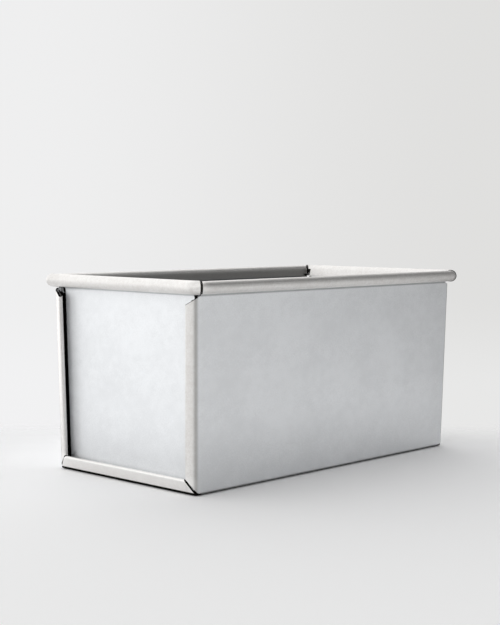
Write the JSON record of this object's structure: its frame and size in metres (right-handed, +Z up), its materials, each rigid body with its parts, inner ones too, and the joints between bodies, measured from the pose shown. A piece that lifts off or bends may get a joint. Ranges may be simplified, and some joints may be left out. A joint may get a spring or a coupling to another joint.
{
  "type": "loaf pan",
  "caption": "Open straight-sided loaf pan folded from sheet steel, with hemmed end plates and a rim rolled around a wire.",
  "frame": {"origin": "middle of the underside of the floor, on the surface that the pan stands on", "axes": "+X along the pan, +Y across it, +Z up out of the open top"},
  "size_m": [0.2164, 0.1204, 0.105],
  "materials": {
    "aluminised_sheet": "satin aluminised sheet steel with a fine cloudy mottle",
    "steel_wire": "dark drawn iron wire, not coated"
  },
  "bodies": {
    "root": {"trough": "aluminised_sheet", "left_end_plate": "aluminised_sheet", "right_end_plate": "aluminised_sheet", "rim_wire": "steel_wire"}
  },
  "joints": []
}
